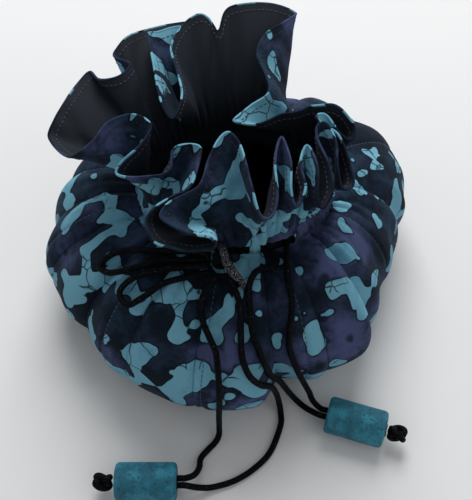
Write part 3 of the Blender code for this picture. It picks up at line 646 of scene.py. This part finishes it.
def turnBetween(degrees, azimuth):  # how far each is from an azimuth, from -180 to 180
    return (degrees - azimuth + 180) % 360 - 180


def creaseShift(degrees, time, found):
    shift = np.zeros(len(degrees))
    for crease in found:
        away = turnBetween(degrees, crease["azimuth"] + crease["drift"] * (1 - time) ** 2)
        width = crease["width"] * (1 + 0.8 * (1 - time))
        fade = ease(time, crease["reach"] - 0.12, crease["reach"] + 0.25) * (1 - 0.75 * ease(time, 0.93, 1.0))
        shift -= crease["depth"] * np.exp(-((away / width) ** 2)) * fade
    return shift


def clothSurface(columns):
    angles = columnAngles(columns)
    degrees = np.degrees(angles)
    found = drawCreases()
    rings = []
    kinds = []
    for share in cloth["baseRings"]:
        halves = (cloth["baseHalfWidth"] * share, cloth["baseHalfDepth"] * share)
        rings.append(ringPoints(angles, *halves, 0, cloth["baseLift"], body["baseBulge"] * max(2 * share - 1, 0)))
        kinds.append(("base", share))
    rowTimes = np.arange(len(bodyProfile) + 2)
    profile = [(0.0, 0.34, 0.0)] + list(bodyProfile) + [(0.985, 0.0, 0.3)]
    for time in np.linspace(1, len(bodyProfile), cloth["bodyRows"]):
        up, out, fold = curveThrough(rowTimes, profile, np.array([min(time, len(bodyProfile) - 1e-6)]))[0]
        halfWidth = body["neckHalfWidth"] + (body["halfWidth"] - body["neckHalfWidth"]) * out
        halfDepth = body["neckHalfDepth"] + (body["halfDepth"] - body["neckHalfDepth"]) * out
        rings.append(ringPoints(angles, halfWidth, halfDepth, 1 - out, max(cloth["baseLift"], body["height"] * up), out))
        kinds.append(("body", fold, (time - 1) / (len(bodyProfile) - 1)))
    for share in np.linspace(0, 1, cloth["channelRows"]):
        z = cloth["channelBottom"] + (cloth["channelTop"] - cloth["channelBottom"]) * share
        rings.append(ringPoints(angles, body["neckHalfWidth"], body["neckHalfDepth"], 1, z))
        kinds.append(("channel", share))
    gather = rings[-1]
    rim = hemPoints(degrees)
    for share in np.linspace(0, 1, cloth["frillRows"] + 1)[1:]:
        ring = gather + (rim - gather) * share ** cloth["frillFlare"]
        ring[:, 2] = gather[:, 2] + (rim[:, 2] - gather[:, 2]) * share ** cloth["frillRise"]
        rings.append(ring)
        kinds.append(("frill", share))
    grid = np.array(rings)
    normals = gridNormals(grid)
    shift = np.zeros(grid.shape[:2])
    for row, kind in enumerate(kinds):
        if kind[0] == "body":
            fade = ease(kind[2], 0.0, 0.25)
            near = ease(kind[2], 0.45, 1.0)
            wander = waves["wander"] * np.sin(2 * angles + 0.7 + 2.4 * kind[2]) * (1 - kind[2])
            form, depth = valleyDepths(degrees + wander)
            shift[row] -= cloth["foldDepth"] * kind[1] * form * depth * fade
            shift[row] += creaseShift(degrees, kind[2], found)
            for azimuth in seams["azimuths"]:
                away = turnBetween(degrees, azimuth)
                shift[row] -= seams["depth"] * np.exp(-((away / seams["width"]) ** 2)) * fade * (1 - near)
            shift[row] += waves["neck"] * near * wave(angles, (46, 0.4), (63, 2.1)) * (0.5 + 0.5 * wave(angles, (7, 1.0)))
            shift[row] += waves["body"] * fade * wave(angles + 0.25 * kind[2], (5, 0.6), (11, 2.0)) * (1 - near)
        if kind[0] == "frill":
            low = 1 - ease(kind[1], 0.0, 0.55)
            shift[row] += waves["gathers"] * low * wave(angles, (58, 0.4), (77, 1.1))
            shift[row] += waves["frill"] * ease(kind[1], 0.3, 0.8) * wave(angles * 3 + kind[1], (9, 0.2), (14, 1.3))
    grid = grid + normals * shift[:, :, None]
    across = np.stack([np.cos(angles), np.sin(angles), np.zeros(columns)], axis=1)
    return grid, kinds, angles, across


def gridNormals(grid):
    along = np.roll(grid, -1, axis=1) - np.roll(grid, 1, axis=1)
    up = np.gradient(grid, axis=0)
    normals = np.cross(along, up)
    lengths = np.linalg.norm(normals, axis=2, keepdims=True)
    return normals / np.maximum(lengths, 1e-12)


def gridFaces(rows, columns, inwards=False):
    faces = []
    for row in range(rows - 1):
        low = row * columns
        for j in range(columns):
            k = (j + 1) % columns
            face = (low + j, low + k, low + columns + k, low + columns + j)
            faces.append(face[::-1] if inwards else face)
    middle = tuple(range(columns))
    faces.append(middle if inwards else middle[::-1])
    return faces


def flatPlaces(grid, angles):  # where each point lay on the flat cloth, in metres
    middle = grid.mean(axis=1, keepdims=True)
    steps = np.linalg.norm(np.diff(grid, axis=0), axis=2)
    reach = np.concatenate([[0.001], 0.001 + np.cumsum(np.median(steps, axis=1))]) * 0.92
    return np.stack([reach[:, None] * np.cos(angles), reach[:, None] * np.sin(angles)], axis=2).reshape(-1, 2)


grid, kinds, angles, across = clothSurface(cloth["columns"])
normals = gridNormals(grid)
channelRows = [row for row, kind in enumerate(kinds) if kind[0] == "channel"]
flat = flatPlaces(grid, angles)


def channelSwell(side):
    swell = np.zeros(grid.shape[:2])
    for row in channelRows:
        share = kinds[row][1]
        swell[row] = math.sin(math.pi * share) ** 0.5 * cloth["channelRoom"] if 0 < share < 1 else 0
        if side > 0:
            pleats = 0.5 + 0.5 * wave(angles, (58, 0.4), (77, 1.1))
            swell[row] += cloth["channelPleat"] * math.sin(math.pi * share) * pleats
    return swell


thinner = [1 - cloth["thinnedBy"] * ease(kind[1], 0.5, 1.0) if kind[0] == "frill" else 1.0 for kind in kinds]
thinner = np.array(thinner)[:, None, None]  # the cloths come closer together towards the hem
outerGrid = grid + normals * cloth["outerStandsOff"] * thinner + across[None] * channelSwell(1)[:, :, None]
liningGrid = grid - normals * cloth["liningStandsOff"] * thinner - across[None] * channelSwell(-1)[:, :, None]
for sheetGrid, lift in ((outerGrid, cloth["outerBase"]), (liningGrid, cloth["liningBase"])):
    sheetGrid[:len(cloth["baseRings"]), :, 2] = cloth["baseLift"] * lift

# The two holes that the cords come out of: azimuths where each starts and ends
holes = ((258, 277.5), (284, 305.5))
holeRows = channelRows[1:-1]
rows, columns = grid.shape[:2]
outerFaces = []
for index, face in enumerate(gridFaces(rows, columns)):
    row, column = divmod(index, columns)
    middle = math.degrees(angles[column] + angles[(column + 1) % columns]) / 2
    inHole = row in holeRows[:-1] and any(low < middle < high for low, high in holes)
    if not inHole:
        outerFaces.append(face)
outerCloth = meshPiece("outerCloth", outerGrid.reshape(-1, 3), outerFaces, batikCotton, flat)
liningCloth = meshPiece("liningCloth", liningGrid.reshape(-1, 3), gridFaces(rows, columns, True), blackCotton, flat)
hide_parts("outer_fabric")
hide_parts("lining")
for piece, slotName in ((outerCloth, "batik_cotton"), (liningCloth, "black_cotton")):
    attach(piece, "pouch")
print("cloth made:", rows, "rows of", columns)

# The rolled hem that joins both cloths
hemRoll = {"radius": 0.00050, "sides": 8}
rimLine = grid[-1]
rimAlong = np.roll(rimLine, -1, axis=0) - np.roll(rimLine, 1, axis=0)
rimAlong /= np.linalg.norm(rimAlong, axis=1, keepdims=True)
rimOut = normals[-1]
rimUp = np.cross(rimAlong, rimOut)
rollPoints = []
rollPlaces = []
for side in range(hemRoll["sides"]):
    turn = 2 * math.pi * side / hemRoll["sides"]
    rollPoints.append(rimLine + (rimOut * math.cos(turn) + rimUp * math.sin(turn)) * hemRoll["radius"])
    rollPlaces.append(flat.reshape(rows, columns, 2)[-1] * (1 + 0.004 * math.sin(turn)))
rollPoints = np.array(rollPoints)
rollFaces = []
for side in range(hemRoll["sides"]):
    above = (side + 1) % hemRoll["sides"]
    for j in range(columns):
        k = (j + 1) % columns
        rollFaces.append((side * columns + j, side * columns + k, above * columns + k, above * columns + j))
hemEdge = meshPiece("hemEdge", rollPoints.reshape(-1, 3), rollFaces, batikCotton, np.array(rollPlaces).reshape(-1, 2))
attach(hemEdge, "pouch")
print("hem rolled")

# Stitches: a short rod for each, along the hem on both sides and up each pocket's seam
stitches = {
    "hemInset": 0.0030, "hemPitch": 0.0019, "seamPitch": 0.0022, "start": 0.3, "share": 0.60, "radius": 0.00015,
    "lift": 0.00006, "sides": 5, "hemRows": 14,
}
threadLook = {
    "outer": (0.010, 0.012, 0.030), "lining": (0.110, 0.085, 0.120), "seam": (0.070, 0.150, 0.190),
    "twistScale": 2600, "shade": 0.45, "bump": (0.4, 0.0001), "roughness": 0.6,
}


def makeThread(name, colour):
    made, tree, shader = newMaterial(name)
    where = addNode(tree, "ShaderNodeTexCoord").outputs["Object"]
    twist = noiseNode(tree, where, threadLook["twistScale"], 2).outputs["Fac"]
    shade = tuple(threadLook["shade"] * value for value in colour)
    tree.links.new(mixColour(tree, twist, colour, shade), shader.inputs["Base Color"])
    addBump(tree, shader, twist, *threadLook["bump"])
    shader.inputs["Roughness"].default_value = threadLook["roughness"]
    return made


def stitchRods(name, lines, closed, pitch, finish):
    runs = []
    for points in lines:
        if closed:
            points = np.concatenate([points, points[:1]])
        lengths = np.concatenate([[0], np.cumsum(np.linalg.norm(np.diff(points, axis=0), axis=1))])
        starts = np.arange(stitches["start"] * pitch, lengths[-1] - pitch, pitch)
        for shift in (0, stitches["share"] * pitch):
            runs.append(np.stack([np.interp(starts + shift, lengths, points[:, axis]) for axis in range(3)], axis=1))
    firsts = np.concatenate(runs[0::2])
    lasts = np.concatenate(runs[1::2])
    along = lasts - firsts
    along /= np.linalg.norm(along, axis=1, keepdims=True)
    sideways = np.cross(along, (0.31, 0.17, 0.93))  # any direction that no stitch runs along
    sideways /= np.linalg.norm(sideways, axis=1, keepdims=True)
    upwards = np.cross(along, sideways)
    count = stitches["sides"]
    turns = 2 * np.pi * np.arange(count) / count
    ring = sideways[:, None] * np.cos(turns)[None, :, None] + upwards[:, None] * np.sin(turns)[None, :, None]
    ring *= stitches["radius"]
    points = np.stack([firsts[:, None] + ring, lasts[:, None] + ring], axis=1).reshape(-1, 3)
    faces = []
    for number in range(len(firsts)):
        low = number * 2 * count
        for j in range(count):
            k = (j + 1) % count
            faces.append((low + j, low + k, low + count + k, low + count + j))
        faces += [tuple(range(low + count - 1, low - 1, -1)), tuple(range(low + count, low + 2 * count))]
    piece = meshPiece(name, points, faces, finish)
    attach(piece, "pouch")
    return piece


def insetLine(surface, outwards, inset):  # runs beside the hem, a little way down the cloth
    down = surface[::-1][:stitches["hemRows"]]
    lengths = np.concatenate([np.zeros((1, columns)), np.cumsum(np.linalg.norm(np.diff(down, axis=0), axis=2), axis=0)])
    line = np.empty((columns, 3))
    for column in range(columns):
        for axis in range(3):
            line[column, axis] = np.interp(inset, lengths[:, column], down[:, column, axis])
    return line + outwards[-3] * stitches["lift"]


outerLine = insetLine(outerGrid, normals, stitches["hemInset"])
outerStitches = stitchRods("hemStitchesOutside", [outerLine], True, stitches["hemPitch"],
                           makeThread("navyThread", threadLook["outer"]))
liningLine = insetLine(liningGrid, -normals, stitches["hemInset"])
liningStitches = stitchRods("hemStitchesInside", [liningLine], True, stitches["hemPitch"],
                            makeThread("mauveThread", threadLook["lining"]))
seamRows = [row for row, kind in enumerate(kinds) if kind[0] == "body" and seams["from"] < kind[2] < seams["to"]]
seamLines = []
for azimuth in seams["azimuths"]:
    column = int(np.argmin(np.abs(turnBetween(np.degrees(angles), azimuth))))
    seamLines.append(outerGrid[seamRows, column] + normals[seamRows, column] * stitches["lift"])
seamStitches = stitchRods("pocketSeamStitches", seamLines, False, stitches["seamPitch"],
                          makeThread("seamThread", threadLook["seam"]))
for piece, onIt in ((outerCloth, [hemEdge, outerStitches, seamStitches]), (liningCloth, [liningStitches])):
    print(piece.name, "has an area of", round(sum(polygon.area for polygon in piece.data.polygons), 4))
print("stitches sewn")

# Pocket ring
pockets = {"height": 0.035, "fromBase": 0.6, "standsOff": 0.0015, "flat": 0.30}


def makePocketRing():
    rowsUsed = [row for row, kind in enumerate(kinds) if kind[0] == "body" and grid[row, 0, 2] < pockets["height"]]
    rowsUsed = [row for row, kind in enumerate(kinds) if kind[0] == "base" and kind[1] >= pockets["fromBase"]] + rowsUsed
    inner = grid[rowsUsed] - normals[rowsUsed] * pockets["standsOff"]
    for place, row in enumerate(rowsUsed):
        if kinds[row][0] == "base":
            inner[place, :, 2] = cloth["baseLift"] + pockets["standsOff"]
    inner = inner[:, ::2]
    count = inner.shape[1]
    faces = gridFaces(len(rowsUsed), count, True)[:-1]
    places = flat.reshape(rows, columns, 2)[rowsUsed][:, ::2].reshape(-1, 2)
    piece = meshPiece("pocketRing", inner.reshape(-1, 3), faces, blackCotton, places)
    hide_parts("pocket_ring")
    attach(piece, "pouch")


makePocketRing()
print("pockets made")

# Beads
beadShape = {"edge": 0.0016, "lip": 0.0006, "seenHole": 0.004, "steps": 64}


def makeBead(side):
    bead = beads[side]
    half = bead["length"] / 2
    radius = bead["diameter"] / 2
    hole = bead["hole"] / 2
    edge = beadShape["edge"]
    lip = beadShape["lip"]
    profile = [(-half + beadShape["seenHole"], hole), (-half + lip, hole), (-half, hole + lip), (-half, radius - edge)]
    for turn in (30, 60, 90):
        angle = math.radians(turn)
        profile.append((-half + edge - edge * math.cos(angle), radius - edge + edge * math.sin(angle)))
    profile = profile + [(-x, r) for x, r in reversed(profile)]
    mesh = bpy.data.meshes.new("bead")
    edges = [(i, i + 1) for i in range(len(profile) - 1)] + [(len(profile) - 1, 0)]
    mesh.from_pydata([(x, 0, r) for x, r in profile], edges, [])
    mesh.materials.append(beadPaint)
    piece = bpy.data.objects.new("bead" + side.capitalize(), mesh)
    bpy.context.collection.objects.link(piece)
    screw = piece.modifiers.new("turned", "SCREW")
    screw.axis = "X"
    screw.steps = screw.render_steps = beadShape["steps"]
    screw.use_merge_vertices = True
    screw.merge_threshold = 0.00001
    screw.use_normal_calculate = True
    angle = math.radians(bead["turn"])
    piece.rotation_euler[2] = angle
    piece.location = (bead["end"][0] + half * math.cos(angle), bead["end"][1] + half * math.sin(angle), radius)
    smooth = piece.modifiers.new("smoothByAngle", "EDGE_SPLIT")
    smooth.split_angle = math.radians(40)
    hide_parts("bead_" + side)
    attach(piece, "bead_" + side)
    return piece


beadPieces = {side: makeBead(side) for side in beads}
print("beads turned")

# Knots
endKnot = {"length": 0.0080, "size": 0.0078, "cord": 0.0024, "gap": 0.0009}
bowKnot = {
    "middle": (-0.0030, -0.0330, 0.0652), "size": (0.0080, 0.0066, 0.0086), "strandRadius": 1.25,
    "strand": (
        (-0.0034, -0.0272, 0.0655), (-0.0030, -0.0297, 0.0680), (-0.0025, -0.0322, 0.0691), (-0.0016, -0.0356, 0.0683),
        (0.0002, -0.0383, 0.0663), (0.0024, -0.0395, 0.0639), (0.0042, -0.0409, 0.0618), (0.0056, -0.0424, 0.0600),
    ),
    "cord": 0.0026, "inset": 0.0024,
}
knotLoops = {"points": 72, "reach": 2, "swing": 0.9, "depth": 1.5, "fullDepth": 3.1, "fullWidth": 6.0}


def knotCurve(size, turn, middle):  # the loops of an overhand knot, drawn tight
    t = 2 * math.pi * np.arange(knotLoops["points"]) / knotLoops["points"]
    reach = (knotLoops["reach"] + knotLoops["swing"] * np.cos(3 * t)) / knotLoops["fullWidth"]
    deep = knotLoops["depth"] * np.sin(3 * t) * size[0] / knotLoops["fullDepth"]
    wide = np.cos(2 * t) * reach * size[1]
    high = np.sin(2 * t) * reach * size[2]
    angle = math.radians(turn)
    x = deep * math.cos(angle) - wide * math.sin(angle)
    y = deep * math.sin(angle) + wide * math.cos(angle)
    return np.array(middle) + np.stack([x, y, high], axis=1)


def closedTube(name, points, diameter, finish):
    made = tube(name, points, diameter, finish)
    made.data.splines[0].use_cyclic_u = True
    return made


for side, bead in beads.items():
    along, sideways, end = beadFrame(bead)
    middle = end + along * (bead["length"] + endKnot["gap"] + endKnot["length"] / 2)
    inner = tuple(v - endKnot["cord"] for v in (endKnot["length"], endKnot["size"], endKnot["size"]))
    knot = closedTube("knot" + side.capitalize(), knotCurve(inner, bead["turn"], middle), endKnot["cord"], cordSatin)
    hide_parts("knot_" + side)
    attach(knot, "pouch")
inner = tuple(v - bowKnot["inset"] for v in bowKnot["size"])
bow = closedTube("bowKnot", knotCurve(inner, 0, bowKnot["middle"]), bowKnot["cord"], cordSatin)
strandPoints = smoothRoute(bowKnot["strand"], cordSizes["step"] / 2)[0]
strand = bow.data.splines.new("POLY")  # the doubled cord that comes out of the hole and wraps over the knot
strand.points.add(len(strandPoints) - 1)
# the strand's finish has more painted glints than the rest of the cord
bow.data.materials.append(cordBright)
strand.material_index = 1
for place, point, share in zip(strand.points, strandPoints, np.linspace(0, 1, len(strandPoints))):
    place.co = (*point, 1)
    place.radius = bowKnot["strandRadius"] * (1 - 0.5 * max(4 * share - 3, 0))  # the last quarter gets thinner
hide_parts("bow_knot")
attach(bow, "pouch")
for name, (piece, start, length) in tailPieces.items():
    side = "left" if "left" in name else "right"
print("knots tied")

# Floor and light
stageLook = {
    "halfSide": 3.0, "floor": (0.80, 0.80, 0.80, 1), "floorRoughness": 0.9,
    "room": (0.96, 0.98, 1.0, 1), "roomStrength": 0.36,
}
lamps = {
    "windowLight": {"place": (0.0, 0.74, 0.88), "aim": (0, 0.05, 0.03), "size": 0.7, "power": 11.5},
    "fillLight": {"place": (0.7, -0.5, 0.8), "aim": (0, 0, 0.03), "size": 0.9, "power": 0.9},
}


def makeFloor():
    mesh = bpy.data.meshes.new("floor")
    half = stageLook["halfSide"]
    mesh.from_pydata([(-half, -half, 0), (half, -half, 0), (half, half, 0), (-half, half, 0)], [], [(0, 1, 2, 3)])
    floor = bpy.data.objects.new("floor", mesh)
    bpy.context.collection.objects.link(floor)
    made, tree, shader = newMaterial("paleTable")
    shader.inputs["Base Color"].default_value = stageLook["floor"]
    shader.inputs["Roughness"].default_value = stageLook["floorRoughness"]
    mesh.materials.append(made)


def makeLamp(name, place, aim, size, power):
    lamp = bpy.data.objects.new(name, bpy.data.lights.new(name, "AREA"))
    bpy.context.collection.objects.link(lamp)
    lamp.data.size = size
    lamp.data.energy = power
    lamp.location = place
    lamp.rotation_euler = (Vector(aim) - Vector(place)).to_track_quat("-Z", "Y").to_euler()


makeFloor()
for name, lamp in lamps.items():
    makeLamp(name, **lamp)
world = bpy.data.worlds.new("softRoom")
bpy.context.scene.world = world
world.use_nodes = True
world.node_tree.nodes["Background"].inputs["Color"].default_value = stageLook["room"]
world.node_tree.nodes["Background"].inputs["Strength"].default_value = stageLook["roomStrength"]
bpy.context.scene.view_settings.view_transform = "Standard"
trees = [material.node_tree for material in bpy.data.materials if material.use_nodes]
for tree in trees + [weaveGroup, batikGroup]:
    arrangeNodes(tree)
print("stage set")
